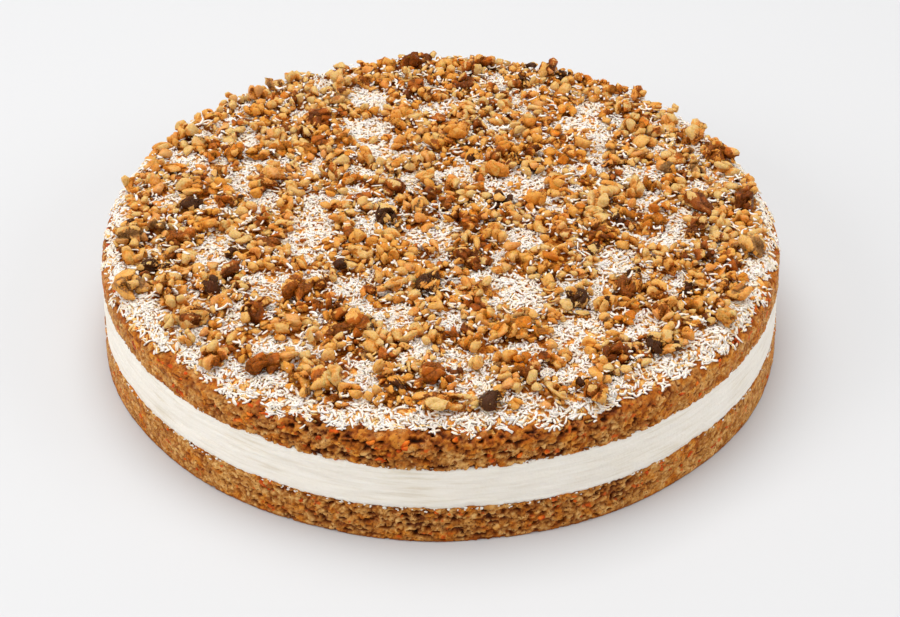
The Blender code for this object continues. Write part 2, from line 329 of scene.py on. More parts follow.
def mottle_group():
    """The mottle that all the materials share, as one group of nodes: Blender's noise over
    the point's own place on the cake in metres, stretched along each axis, 0 to 1."""
    group = bpy.data.node_groups.new("mottle", "ShaderNodeTree")
    for name, kind in (("Stretch", "Vector"), ("Per metre", "Float"), ("Detail", "Float")):
        group.interface.new_socket(name, in_out="INPUT", socket_type="NodeSocket" + kind)
    group.interface.new_socket("Mottle", in_out="OUTPUT", socket_type="NodeSocketFloat")
    given = group.nodes.new("NodeGroupInput")
    place = group.nodes.new("ShaderNodeTexCoord")
    stretched = group.nodes.new("ShaderNodeMapping")
    noise = group.nodes.new("ShaderNodeTexNoise")
    result = group.nodes.new("NodeGroupOutput")
    group.links.new(place.outputs["Object"], stretched.inputs["Vector"])
    group.links.new(given.outputs["Stretch"], stretched.inputs["Scale"])
    group.links.new(stretched.outputs["Vector"], noise.inputs["Vector"])
    group.links.new(given.outputs["Per metre"], noise.inputs["Scale"])
    group.links.new(given.outputs["Detail"], noise.inputs["Detail"])
    group.links.new(noise.outputs["Fac"], result.inputs["Mottle"])
    return group


MOTTLE = mottle_group()
DRY_SHINE = 0.10  # food and the floor mirror little of the lamps


class Paint:
    """A material with one Principled shader, and short ways to add nodes before it."""

    def __init__(self, name, roughness, glow=0.0, glow_depth=0.001, glow_tint=(1.0, 0.6, 0.3)):
        self.material = bpy.data.materials.new(name)
        self.material.use_nodes = True
        self.tree = self.material.node_tree
        self.shader = self.tree.nodes["Principled BSDF"]
        self.shader.inputs["Roughness"].default_value = roughness
        self.shader.inputs["Specular IOR Level"].default_value = DRY_SHINE
        self.shader.inputs["Subsurface Weight"].default_value = glow
        self.shader.inputs["Subsurface Scale"].default_value = glow_depth
        self.shader.inputs["Subsurface Radius"].default_value = glow_tint

    def put(self, socket, value):
        """Sets a node's input to a value, or links another node's output to it."""
        if isinstance(value, bpy.types.NodeSocket):
            self.tree.links.new(value, socket)
        elif np.ndim(value) and socket.type == "RGBA":
            socket.default_value = (*value, 1)
        else:
            socket.default_value = value

    def node(self, kind, inputs, **settings):
        """One node, with its settings and its inputs by name or number."""
        made = self.tree.nodes.new(kind)
        for name, value in settings.items():
            setattr(made, name, value)
        for name, value in inputs.items():
            self.put(made.inputs[name], value)
        return made

    def field(self, name, output="Fac"):
        """A number or a colour stored at the points of the piece."""
        return self.node("ShaderNodeAttribute", {}, attribute_name=name).outputs[output]

    def noise(self, per_metre, detail=2.0, stretch=(1, 1, 1)):
        """The shared mottle, with this material's own values."""
        inputs = {"Stretch": stretch, "Per metre": per_metre, "Detail": detail}
        return self.node("ShaderNodeGroup", inputs, node_tree=MOTTLE).outputs["Mottle"]

    def ramp(self, factor, *stops):
        """Colours along a factor, each stop as (place, linear colour)."""
        made = self.node("ShaderNodeValToRGB", {"Fac": factor})
        elements = made.color_ramp.elements
        while len(elements) < len(stops):
            elements.new(0.5)
        for element, (place, colour) in zip(elements, stops):
            element.position = place
            element.color = (*colour, 1)
        return made.outputs["Color"]

    def blend(self, factor, first, second, way="MIX"):
        """Two colours mixed by a factor."""
        inputs = {0: factor, 6: first, 7: second}
        made = self.node("ShaderNodeMix", inputs, data_type="RGBA", blend_type=way)
        return made.outputs[2]

    def sum(self, way, first, second):
        """One arithmetic step on two numbers."""
        return self.node("ShaderNodeMath", {0: first, 1: second}, operation=way).outputs[0]

    def mixed(self, share, first, second):
        """Two numbers mixed: this share of the first, the rest of the second."""
        part = self.sum("MULTIPLY", first, share)
        return self.sum("ADD", part, self.sum("MULTIPLY", second, 1 - share))

    def spread(self, value, low, high, to_low=0.0, to_high=1.0):
        """A number's range stretched from low and high to two others, and held there."""
        inputs = {"Value": value, "From Min": low, "From Max": high}
        inputs |= {"To Min": to_low, "To Max": to_high}
        return self.node("ShaderNodeMapRange", inputs).outputs["Result"]

    def colour(self, value):
        self.put(self.shader.inputs["Base Color"], value)

    def gloss(self, value):
        self.put(self.shader.inputs["Roughness"], value)

    def bump(self, height, depth, strength=1.0):
        """A bump of this depth in metres, from heights 0 to 1."""
        inputs = {"Strength": strength, "Distance": depth, "Height": height}
        made = self.node("ShaderNodeBump", inputs)
        self.put(self.shader.inputs["Normal"], made.outputs["Normal"])


def sponge_paint():
    """Moist carrot sponge. Each grain has its own tone of tan, and is gold in patches, more of
    them where it is toasted. The gaps between grains go amber and then dark brown as they
    deepen, partly the moist crumb's colour and partly painted shade. Tiny dark specks are
    painted shade for pits too small to build, and finely grated carrot tints some grains orange."""
    paint = Paint("carrot sponge crumb", 0.5, glow=0.12, glow_depth=0.0012, glow_tint=(1.0, 0.45, 0.15))
    openness = paint.field("openness")
    mottle = paint.noise(900, 3)
    own = paint.mixed(0.55, paint.field("grain"), mottle)
    tan = paint.ramp(
        own,
        (0.30, srgb(152, 91, 30)),
        (0.42, srgb(178, 117, 50)),
        (0.56, srgb(196, 138, 70)),
        (0.74, srgb(224, 176, 108)),
    )
    gold = paint.ramp(
        own,
        (0.30, srgb(152, 78, 12)),
        (0.46, srgb(184, 102, 22)),
        (0.70, srgb(214, 142, 52)),
    )
    toast = paint.sum("MULTIPLY", paint.field("toasted"), 0.10)
    patches = paint.sum("ADD", paint.noise(150, 3), toast)
    body = paint.blend(paint.spread(patches, 0.52, 0.64), tan, gold)
    orange = paint.spread(paint.noise(230, 2, (1, 1, 1.5)), 0.64, 0.69, 0.0, 0.85)
    body = paint.blend(orange, body, srgb(206, 84, 18))
    # partly the moist crumb's colour, partly painted shade: amber and then dark brown down the gaps and
    # pits, by how open the crumb is
    amber = paint.ramp(paint.noise(160, 2), (0.35, srgb(98, 40, 6)), (0.65, srgb(146, 70, 12)))
    body = paint.blend(paint.spread(openness, 0.34, 0.78), amber, body)
    # painted shade: tiny dark specks standing in for pits too small to build
    specks = paint.spread(paint.noise(1300, 1), 0.30, 0.36)
    body = paint.blend(specks, srgb(104, 50, 14), body)
    pit = paint.ramp(paint.noise(240, 1), (0.40, srgb(34, 11, 2)), (0.60, srgb(66, 26, 5)))
    paint.colour(paint.blend(paint.spread(openness, 0.04, 0.40), pit, body))
    paint.gloss(paint.spread(paint.noise(700, 2), 0.35, 0.65, 0.24, 0.70))
    paint.bump(paint.sum("ADD", mottle, paint.noise(2300, 2)), 0.00024, 0.9)
    return paint


def mark_crumb(piece, openness, grain, toasted):
    """Stores what the sponge's paint needs at every point."""
    mark(piece, "openness", with_poles(openness))
    mark(piece, "grain", with_poles(grain))
    mark(piece, "toasted", with_poles(toasted))


base_top = LOWER_JOIN - JOIN_GAP
base_profile = [
    (FLAT_RADIUS, 0, 0, 0),
    (CAKE_RADIUS - 0.0016, 0, 0, 0),
    *side_rows(0.0003, base_top, CRUMB_SINK, SIDE_STEP),
    (CAKE_RADIUS - 0.0020, base_top + 0.0004, 0, 0.3),
    (CAKE_RADIUS - 0.0036, base_top + 0.0004, 0, 0),
    (FLAT_RADIUS, base_top, 0, 0),
]
points, ways = rounded_layer(base_profile)
relief, openness, grain = crumb_relief(points, 0)
heights = points[:, :, 2].copy()
held = 0.25 + 0.75 * ease(heights, 0.0002, 0.0018)  # the skin is hardly broken
points += ways * (relief * held)[:, :, None]
points[:, :, 2] += ease(heights, 0.004, base_top) * edge_line(side_angles(), LOWER_LINE)
openness = 1 - (1 - openness) * held
skin = 1 - ease(heights, SKIN_HEIGHT * 0.4, SKIN_HEIGHT * 1.4)
crumb_paint = sponge_paint()
lower_sponge = round_piece("lower_sponge", points, crumb_paint.material, 12)
mark_crumb(lower_sponge, openness * (1 - 0.45 * skin), grain, skin)
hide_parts("bottom_sponge")


# ---------------------------------------------------------------------------------------
# The cream filling. Whipped cream and soft cheese, warm white and set, spread right
# through the cake and levelled off round its side with a palette knife, which leaves long
# fine level streaks and drags a little cream over the crumb above and below.

CREAM_LIP = 0.0006  # how far it is dragged over the sponge
CREAM_SINK = 0.0003
CREAM_STEP = 0.00062
STREAK_DEPTH = 0.00032
SWELL_DEPTH = 0.00035  # of the slow swells under the streaks
SMEAR_COUNT = 560  # specks of cream dragged onto the crumb along both joins


def knife_streaks(points):
    """Long level streaks: noise that changes fast with height and slowly round the cake,
    at three sizes, in metres out of the mean surface."""
    fast = points * [1 / 12, 1 / 12, 1]
    wide = points * [1 / 5, 1 / 5, 1]
    streaks = 0.55 * soft_noise(fast, 0.00080, 21) + 0.45 * soft_noise(wide, 0.0022, 22)
    return STREAK_DEPTH * streaks + SWELL_DEPTH * soft_noise(points * [1, 1, 1.5], 0.0090, 23)


inside = CAKE_RADIUS - 0.0020
cream_profile = [
    (FLAT_RADIUS, LOWER_JOIN, 0, 0),
    (inside - 0.0008, LOWER_JOIN, 0, 0),
    (inside + 0.0004, LOWER_JOIN - 0.6 * CREAM_LIP, 0, 0),
    *side_rows(LOWER_JOIN - CREAM_LIP, UPPER_JOIN + CREAM_LIP, CREAM_SINK, CREAM_STEP),
    (inside - 0.0012, UPPER_JOIN + 0.6 * CREAM_LIP, 0, 0),
    (inside - 0.0024, UPPER_JOIN, 0, 0),
    (FLAT_RADIUS, UPPER_JOIN, 0, 0),
]
points, ways = rounded_layer(cream_profile)
heights = points[:, :, 2].copy()
middle = (LOWER_JOIN + UPPER_JOIN) / 2
past_edge = np.abs(heights - middle) - (UPPER_JOIN - LOWER_JOIN) / 2 - CREAM_LIP
ragged = 0.0004 * soft_noise(points * [1, 1, 0.5], 0.0013, 24) * np.exp(past_edge / 0.0007)
out = knife_streaks(points) - 0.0009 * np.exp(past_edge / 0.0005) + ragged
points += ways * out[:, :, None]
share = ease(heights, LOWER_JOIN, UPPER_JOIN)
lower_line = edge_line(side_angles(), LOWER_LINE)
upper_line = edge_line(side_angles(), UPPER_LINE)
points[1:-1, :, 2] += ((1 - share) * lower_line + share * upper_line)[1:-1]
cream_paint = Paint(
    "whipped cream filling", 0.45, glow=0.2, glow_depth=0.003, glow_tint=(1.0, 0.85, 0.65)
)
streak = cream_paint.noise(1.0, 3, (60, 60, 900))
cloud = cream_paint.noise(42, 2)
cream_paint.colour(
    cream_paint.ramp(
        cream_paint.mixed(0.6, streak, cloud),
        (0.34, srgb(224, 214, 196)),
        (0.46, srgb(237, 230, 218)),
        (0.66, srgb(243, 237, 227)),
    )
)
cream_paint.gloss(cream_paint.spread(streak, 0.3, 0.7, 0.36, 0.55))
cream_paint.bump(cream_paint.sum("ADD", streak, cream_paint.noise(900, 3)), 0.0003, 0.8)
cream = round_piece("cream_layer", points, cream_paint.material, 10)
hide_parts("cream_filling")


def unit(vectors):
    """Vectors scaled to length one."""
    return vectors / np.linalg.norm(vectors, axis=-1, keepdims=True)


def ball_ways(rows, columns):
    """Directions over a ball: a lower pole, rings going up, an upper pole."""
    tilt = math.pi * np.arange(1, rows + 1)[:, None] / (rows + 1)
    turn = np.arange(columns)[None, :] * 2 * math.pi / columns
    rings = np.stack(
        [np.sin(tilt) * np.cos(turn), np.sin(tilt) * np.sin(turn), -np.cos(tilt) + 0 * turn], 2
    )
    return np.concatenate([[[0, 0, -1]], rings.reshape(-1, 3), [[0, 0, 1]]])


def repeated(count, size, quads, fans):
    """The faces of one shape repeated for many of this many points each."""
    first = (np.arange(count) * size)[:, None, None]
    return (quads + first).reshape(-1, 4), (fans + first).reshape(-1, 3)


def in_cells(count, margin, own, quad_corners):
    """One shape's own map repeated for many, each in a small cell with a margin: first the
    corners of all their quads, and then those of all their fans."""
    wide = math.ceil(math.sqrt(count))
    cell = np.arange(count)
    corner = np.stack([cell % wide, cell // wide], 1)[:, None]
    parts = np.split(own, [quad_corners])
    places = [(corner + margin + (1 - 2 * margin) * part).reshape(-1, 2) for part in parts]
    return np.concatenate(places) / wide


def many_balls(count, rows, columns):
    """Faces of many balls one after the other, as (quads, fans)."""
    return repeated(count, rows * columns + 2, *round_faces(rows, columns))


def ball_cells(count, rows, columns):
    """A flat map of those faces."""
    return in_cells(count, 0.05, round_map(rows, columns), 4 * (rows - 1) * columns)


def side_ways(angles):
    """The ways straight out of the cake's side and level along it, at each angle."""
    outward = np.stack([np.cos(angles), np.sin(angles), 0 * angles], 1)
    return outward, outward[:, [1, 0, 2]] * [-1, 1, 1]


rng = np.random.default_rng(25)
angles = rng.uniform(0, 2 * math.pi, SMEAR_COUNT)
strays = np.abs(rng.normal(0, 0.0007, SMEAR_COUNT))
below = LOWER_JOIN - JOIN_GAP - strays + edge_line(angles, LOWER_LINE)
above = UPPER_JOIN + JOIN_GAP + 0.6 * strays + edge_line(angles, UPPER_LINE)
levels = np.where(rng.uniform(0, 1, SMEAR_COUNT) < 0.7, below, above)
outward, along_side = (ways[:, None] for ways in side_ways(angles))
reach = (CAKE_RADIUS - SIDE_LEAN * levels) * outline(angles) - 0.0004
ball = ball_ways(3, 6)
sizes = rng.uniform(0.00022, 0.00060, (SMEAR_COUNT, 1, 3)) * [1.4, 0.8, 0.8]
parts = ball * sizes * (1 + 0.3 * rng.uniform(-1, 1, (SMEAR_COUNT, len(ball), 1)))
points = parts[:, :, :1] * along_side + parts[:, :, 2:] * [0, 0, 1] - parts[:, :, 1:2] * outward
points = points + outward * reach[:, None, None] + levels[:, None, None] * [0, 0, 1]
quads, fans = many_balls(SMEAR_COUNT, 3, 6)
smears = new_piece("cream_smears", points.reshape(-1, 3), quads, fans, cream_paint.material)
lay_flat(smears, ball_cells(SMEAR_COUNT, 3, 6))


# ---------------------------------------------------------------------------------------
# The upper sponge. The same crumb, laid on the cream with its baked top up, so that its
# edge is rounded over and more golden than its side.

DOME_RISE = 0.0004
SHOULDER_WIDTH = 0.0075
SHOULDER_HEIGHT = 0.0050
SPONGE_TOP = upper_high.z - DOME_RISE
SIDE_TOP = SPONGE_TOP - SHOULDER_HEIGHT
SHOULDER_RADIUS = CAKE_RADIUS - SIDE_LEAN * SIDE_TOP
SHOULDER_ROWS = 18
TOASTED_SIDE = 0.32  # how toasted its side is; the shoulder is 1 more
upper_base = UPPER_JOIN + JOIN_GAP


def sponge_surface(radius):
    """Height of the upper sponge: a very low dome, then a quarter ellipse down its edge."""
    flat_edge = SHOULDER_RADIUS - SHOULDER_WIDTH
    dome = DOME_RISE * (1 - np.minimum(radius / flat_edge, 1) ** 2)
    along = np.clip((radius - flat_edge) / SHOULDER_WIDTH, 0, 0.995)
    return SPONGE_TOP + dome - SHOULDER_HEIGHT * (1 - np.sqrt(1 - along**2))


shoulder = []
for turn in np.linspace(0, math.pi / 2, SHOULDER_ROWS + 1)[1:]:
    out, up = math.cos(turn), math.sin(turn)
    radius = SHOULDER_RADIUS - SHOULDER_WIDTH * (1 - out) - 0.0003 * out
    shoulder.append((radius, SIDE_TOP + SHOULDER_HEIGHT * up, out, up))
upper_profile = [
    (FLAT_RADIUS, upper_base, 0, 0),
    (CAKE_RADIUS - 0.0052, upper_base - 0.0004, 0, 0),
    (CAKE_RADIUS - 0.0036, upper_base - 0.0004, 0, 0),
    *side_rows(upper_base, SIDE_TOP, CRUMB_SINK, SIDE_STEP),
    *shoulder,
    (0.1290, float(sponge_surface(0.1290)), 0, 0.5),
    (0.1200, float(sponge_surface(0.1200)), 0, 0),
    (0.0600, float(sponge_surface(0.0600)), 0, 0),
]
points, ways = rounded_layer(upper_profile)
relief, openness, grain = crumb_relief(points, 0.31)
heights = points[:, :, 2].copy()
points += ways * relief[:, :, None]
falling = 1 - ease(heights, upper_base, upper_base + 0.006)
points[1:-1, :, 2] += (falling * upper_line)[1:-1]
toasted = TOASTED_SIDE + ease(heights, upper_base + 0.002, SPONGE_TOP)
openness *= 1 - 0.24 * ease(heights, SIDE_TOP - 0.0010, SIDE_TOP + 0.0030)  # it browns most there
upper_sponge = round_piece("upper_sponge", points, crumb_paint.material, 12)
mark_crumb(upper_sponge, openness, grain, toasted)
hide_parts("top_sponge")


# ---------------------------------------------------------------------------------------
# The carrot in the crumb. Coarsely grated shreds, orange and wet, baked into the sponge
# and torn where the side is trimmed, so they lie nearly flush with it.

CARROT_COUNT = 300
CARROT_CORNERS = 5
CARROT_STATIONS = 5


def shred_tubes(line, side, above, width, thickness, taper, corners, roll):
    """Tubes round many lines at once. Line, side and above are (shreds, stations, 3), and
    each station's ring of corners is an ellipse across the line, scaled by the taper. Its
    faces point outwards when above is the cross product of the line's way and the side."""
    turn = np.arange(corners) * 2 * math.pi / corners + roll[:, None, None]
    across = np.cos(turn) * (width[:, None] / 2 * taper)[..., None]
    over = np.sin(turn) * (thickness[:, None] / 2 * taper)[..., None]
    ring = side[:, :, None] * across[..., None] + above[:, :, None] * over[..., None]
    return line[:, :, None] + ring


def shred_faces(count, stations, corners):
    """Quads along each shred, and a fan of triangles over each end."""
    end = corners * (stations - 1)
    fan = np.arange(1, corners - 1)
    foot = np.stack([0 * fan, fan + 1, fan], 1)
    tip = end + np.stack([0 * fan, fan, fan + 1], 1)
    return repeated(count, stations * corners, ring_quads(stations, corners), np.concatenate([foot, tip]))


def shred_map(count, stations, corners):
    """A flat map of the same faces: in a shred's cell its side is unrolled up the middle,
    and its ends are small discs below and above."""
    sides = ring_map(0.2, 0.8, stations, corners)
    fan = np.arange(1, corners - 1)
    turn = np.arange(corners) * 2 * math.pi / corners
    disc = np.stack([0.5 + 0.45 * np.cos(turn), 0.08 + 0.07 * np.sin(turn)], 1)
    foot = np.stack([disc[0 * fan], disc[fan + 1], disc[fan]], 1)
    tip = np.stack([disc[0 * fan], disc[fan], disc[fan + 1]], 1) + [0, 0.84]
    own = np.concatenate([sides, foot.reshape(-1, 2), tip.reshape(-1, 2)])
    return in_cells(count, 0.06, own, len(sides))


rng = np.random.default_rng(31)
angles = rng.uniform(0, 2 * math.pi, CARROT_COUNT)
deep = rng.uniform(0.0005, 0.0014, CARROT_COUNT)
levels = np.where(
    rng.uniform(0, 1, CARROT_COUNT) < 0.48,
    rng.uniform(0.0020, base_top - 0.0012, CARROT_COUNT),
    rng.uniform(upper_base + 0.0012, SPONGE_TOP - 0.0012, CARROT_COUNT),
)
rise = np.clip((levels - SIDE_TOP) / SHOULDER_HEIGHT, 0, 1)
reach = (CAKE_RADIUS - SIDE_LEAN * np.minimum(levels, SIDE_TOP)) * outline(angles)
reach = reach - SHOULDER_WIDTH * (1 - np.sqrt(1 - rise**2)) - deep
outward, along_side = side_ways(angles)
lean = rng.normal(0, 0.5, CARROT_COUNT)[:, None]
ways = along_side * np.cos(lean) + np.array([0, 0, 1]) * np.sin(lean)
ways = unit(ways + outward * rng.uniform(-0.4, 0.1, (CARROT_COUNT, 1)))
sides = unit(np.cross(outward, ways))
lengths = rng.uniform(0.0013, 0.0046, CARROT_COUNT)
t = np.linspace(-1, 1, CARROT_STATIONS)[None, :, None]
line = (outward * reach[:, None] + np.array([0, 0, 1]) * levels[:, None])[:, None]
line = line + ways[:, None] * lengths[:, None, None] / 2 * t
line = line + sides[:, None] * rng.normal(0, 0.0004, (CARROT_COUNT, 1, 1)) * t**2
widths = rng.uniform(0.0010, 0.0024, CARROT_COUNT)
taper = 1 - 0.55 * t[0, :, 0] ** 6
sides = np.repeat(sides[:, None], CARROT_STATIONS, 1)
over = np.cross(np.repeat(ways[:, None], CARROT_STATIONS, 1), sides)
carrot = shred_tubes(line, sides, over, widths, widths * 0.8, taper, CARROT_CORNERS, 0 * lengths)
carrot += 0.00025 * soft_noise(carrot, 0.0009, 32)[..., None]
carrot[..., 2] = np.maximum(carrot[..., 2], 0.0002)
carrot_paint = Paint("grated carrot", 0.34, glow=0.2, glow_depth=0.0012, glow_tint=(1.0, 0.4, 0.1))
carrot_paint.colour(
    carrot_paint.ramp(
        carrot_paint.noise(240, 3),
        (0.34, srgb(160, 56, 6)),
        (0.50, srgb(204, 80, 12)),
        (0.66, srgb(228, 124, 36)),
    )
)
carrot_paint.bump(carrot_paint.noise(1500, 2), 0.0003)
quads, caps = shred_faces(CARROT_COUNT, CARROT_STATIONS, CARROT_CORNERS)
carrots = new_piece(
    "carrot_shreds", carrot.reshape(-1, 3), quads, caps, carrot_paint.material
)
lay_flat(carrots, shred_map(CARROT_COUNT, CARROT_STATIONS, CARROT_CORNERS))


# ---------------------------------------------------------------------------------------
# The topping's bed. Under the loose shreds and nuts lies a packed layer of coconut, nut
# dust and crumb, golden brown where it shows between the shreds and dark brown among the
# nuts, partly nut dust and partly painted shade.

BED_DEPTH = 0.0011
BED_ROWS = 118
BED_COLUMNS = 600
BED_GRIT = 0.0021  # size of the pebbles that it is packed of
RIM_RADIUS = SHOULDER_RADIUS - 0.0021
RIM_RETREAT = 0.0028  # how much less far the coconut reaches at the front
RIM_SINK = 0.0016  # how far the bed's rim is tucked under the crumb's surface
RIM_OVERLAP = 0.0004  # how far it runs out past the coconut's edge

# Places where the coconut lies bare of nuts, as soft ellipses seen from above: each one's
# place to the right of the middle and behind it, its length and width in millimetres, and
# the turn of its length in degrees
BARE_PATCHES = [
    # round the front, left and right rims
    (-88, -98, 52, 18, -45), (-72, -106, 24, 16, -20), (-50, -122, 30, 14, -15),
    (-20, -128, 44, 14, -3), (22, -129, 56, 14, 3), (58, -118, 36, 17, 28),
    (84, -101, 28, 20, 40), (104, -82, 24, 20, 55), (118, -60, 34, 12, 62),
    (125, -36, 30, 11, 75), (-114, -62, 28, 15, -60), (-127, -42, 26, 10, -70),
    (-127, -34, 22, 9, 5), (-116, -24, 7, 15, 0), (-131, 0, 6, 16, 0),
    (131, 36, 8, 24, 12),
    # the front half
    (-55, -14, 15, 30, 0), (-89, -25, 15, 28, 0), (-31, -6, 10, 16, 0),
    (-9, -14, 16, 13, 20), (-68, -48, 17, 22, -10), (-50, -40, 20, 6, 5),
    (-33, -52, 15, 22, 20), (-78, -68, 8, 20, -10), (-58, -86, 28, 14, -5),
    (-16, -71, 15, 21, 0), (-28, -108, 11, 22, 10), (-8, -88, 9, 15, 0),
    (1, -9, 12, 24, 0), (29, -51, 20, 25, 5), (32, -16, 15, 14, 0),
    (25, -28, 8, 12, 0), (68, -31, 17, 18, 0), (62, -48, 8, 24, -15),
    (90, -17, 20, 11, 0), (94, -8, 8, 16, 0), (90, -45, 10, 16, -30),
    (50, -80, 22, 30, -15), (72, -77, 22, 8, 0), (77, -68, 12, 9, -30),
    (30, -90, 22, 10, 0), (5, -71, 9, 16, 0), (19, -66, 8, 8, 0),
    (11, -107, 15, 20, 10), (50, -103, 16, 12, 0), (75, -14, 9, 9, 0),
    # the back half
    (-86, 86, 8, 20, 0), (-94, 76, 12, 12, 0), (-84, 60, 10, 28, 10),
    (-74, 42, 26, 8, 0), (-83, 29, 8, 22, 0), (-55, 108, 8, 20, 0),
    (-33, 95, 16, 20, 0), (-33, 72, 24, 20, 0), (-28, 52, 18, 14, 0),
    (-10, 49, 22, 6, 0), (-2, 88, 14, 12, 30), (-30, 34, 22, 9, -25),
    (-9, 31, 20, 8, 10), (-48, 13, 24, 9, -10), (-50, 4, 12, 10, 0),
    (-73, 11, 10, 14, 0), (-93, 10, 10, 16, 0), (-111, 49, 14, 9, -20),
    (-112, 14, 11, 12, 0), (-34, 20, 12, 7, -30), (25, 108, 10, 20, 0),
    (44, 104, 16, 8, 25), (38, 90, 6, 18, 10), (6, 92, 14, 9, 0),
    (66, 86, 13, 14, 0), (55, 73, 13, 13, -20), (67, 69, 16, 18, 0),
    (67, 50, 9, 24, 0), (46, 53, 12, 9, 0), (62, 37, 36, 9, 0),
    (40, 28, 18, 12, 45), (87, 34, 16, 14, 30), (83, 24, 7, 14, 0),
    (91, 53, 7, 16, 0), (105, 76, 10, 9, 0), (114, 35, 9, 9, 0),
    (107, 23, 11, 9, 30), (86, 13, 15, 12, 0), (50, 6, 15, 6, 0),
    (9, 33, 13, 16, 0), (20, 62, 18, 5, 0), (28, 16, 9, 8, 0),
    (103, 2, 16, 8, 15),
]


def turned(x, y, angle):
    """A point's two coordinates after a turn anticlockwise about the origin."""
    return x * np.cos(angle) - y * np.sin(angle), x * np.sin(angle) + y * np.cos(angle)


def bareness(x, y):
    """How bare of nuts the coconut is, 0 to 1: soft ellipses with ragged edges, scraps
    between the nuts where a noise is high, and a rim that the nuts don't reach."""
    points = np.stack([x, y, 0 * x], -1)
    rough = 0.30 * soft_noise(points, 0.0046, 43) + 0.15 * soft_noise(points, 0.0100, 42)
    bare = ease(soft_noise(points, 0.0065, 44), 0.42, 0.62)
    for right, behind, length, width, turn in BARE_PATCHES:
        along, over = turned(x * 1000 - right, y * 1000 - behind, -math.radians(turn))
        away = np.hypot(along / length, over / width) * 2
        bare = np.maximum(bare, 1 - ease(away + rough, 0.94, 1.22))
    radius = np.hypot(x, y)
    front = 0.5 - 0.5 * y / np.maximum(radius, 1e-6)
    nut_edge = 0.1325 - 0.0060 * front
    return np.maximum(bare, ease(radius + 0.002 * rough, nut_edge, nut_edge + 0.003))


def coconut_edge(x, y):
    """How far out the coconut reaches at each place: a mean radius, least at the front,
    scalloped as it fell."""
    points = np.stack([x, y, 0 * x], -1)
    front = np.clip(-y / np.maximum(np.hypot(x, y), 1e-6), 0, 1) ** 2
    wave = 0.0008 * np.sin(9 * np.arctan2(y, x) + 0.7)
    return RIM_RADIUS - RIM_RETREAT * front + wave + 0.0022 * soft_noise(points, 0.0055, 45)


def bed_surface(x, y):
    """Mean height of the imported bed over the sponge, thinning to nothing at its rim."""
    radius = np.hypot(x, y)
    inward = ease(coconut_edge(x, y) - radius, 0.0004, 0.0050)
    return sponge_surface(radius) - RIM_SINK + (BED_DEPTH + RIM_SINK) * inward


angles = np.arange(BED_COLUMNS) * 2 * math.pi / BED_COLUMNS
rim = coconut_edge(RIM_RADIUS * np.cos(angles), RIM_RADIUS * np.sin(angles)) + RIM_OVERLAP
under = [0.30, 0.65, 0.985]  # shares of the radius for its underside's rows
shares = np.concatenate([under, np.linspace(1, 0, BED_ROWS, endpoint=False) ** 0.75])
x = shares[:, None] * rim * np.cos(angles)
y = shares[:, None] * rim * np.sin(angles)
heights = bed_surface(x, y)
places = np.stack([x, y, heights], 2)
near, second, _ = lumps(places, BED_GRIT, 46)
pebbles = np.sqrt(np.clip((second - near) / BED_GRIT * 1.6, 0, 1))
thick = np.clip((heights - sponge_surface(np.hypot(x, y))) / BED_DEPTH, 0, 1)
heights = heights + (0.0008 * (pebbles - 0.6) + 0.0004 * soft_noise(places, 0.0012, 47)) * thick
heights[: len(under)] = sponge_surface(np.hypot(x, y))[: len(under)] - 0.0012
heights[len(under)] -= 0.0006
bed_paint = Paint(
    "packed coconut and nut dust", 0.6, glow=0.15, glow_depth=0.0012, glow_tint=(1.0, 0.5, 0.2)
)
grit = bed_paint.noise(560, 3)
under_coconut = bed_paint.ramp(
    grit,
    (0.36, srgb(196, 112, 36)),
    (0.47, srgb(228, 152, 66)),
    (0.58, srgb(240, 184, 104)),
    (0.72, srgb(250, 218, 160)),
)
# partly nut dust, partly painted shade: the bed goes dark brown among the nuts, where it lies in their
# shade
under_nuts_dust_and_shade = bed_paint.ramp(
    grit,
    (0.36, srgb(112, 48, 6)),
    (0.50, srgb(180, 97, 18)),
    (0.68, srgb(222, 151, 60)),
)
bed_paint.colour(bed_paint.blend(bed_paint.field("bareness"), under_nuts_dust_and_shade, under_coconut))
bed_paint.bump(bed_paint.noise(1400, 3), 0.0004)
quads, fans = round_faces(len(shares), BED_COLUMNS)
points = with_poles(np.stack([x, y, heights], 2))
bed = new_piece("topping_bed", points, quads, fans, bed_paint.material)
mark(bed, "bareness", with_poles(bareness(x, y)))
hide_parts("coconut_nut_bed")


# ---------------------------------------------------------------------------------------
# The large walnut pieces. Knobbly bits of roasted kernel, honey gold and paler on top by
# painted light, amber to deep brown in their folds by painted shade, with scraps of thin
# skin that run from chestnut to nearly black. Each lies where its node does, pressed a
# little into the coconut.

LARGE_FOLDS = 7
LARGE_GRID = (10, 12)  # rows of points from end to end of a fold, and points in each
LARGE_SWELL = 1.03  # how much longer, wider and taller than the plain solid
BREAKS = 5  # flat breaks on each fold
PRESSED_IN = 0.0018
CREAMY = srgb(208, 174, 114)
HONEY = srgb(214, 164, 92)
AMBER = srgb(210, 146, 62)
RUST = srgb(202, 122, 34)
DEEP = srgb(124, 57, 4)
CHESTNUT = srgb(160, 84, 20)
BURNT = srgb(52, 18, 4)
GREY_SKIN = srgb(160, 116, 68)
ROSY = srgb(212, 134, 70)

# The pieces whose edge curls round a hollow, and the ones that are plain and smooth
CURLED = (1, 8, 10, 12, 15, 16, 20, 23, 24, 32, 37, 38, 41, 42)
SMOOTH = (2, 13, 17, 19, 22, 25, 31, 34, 35)

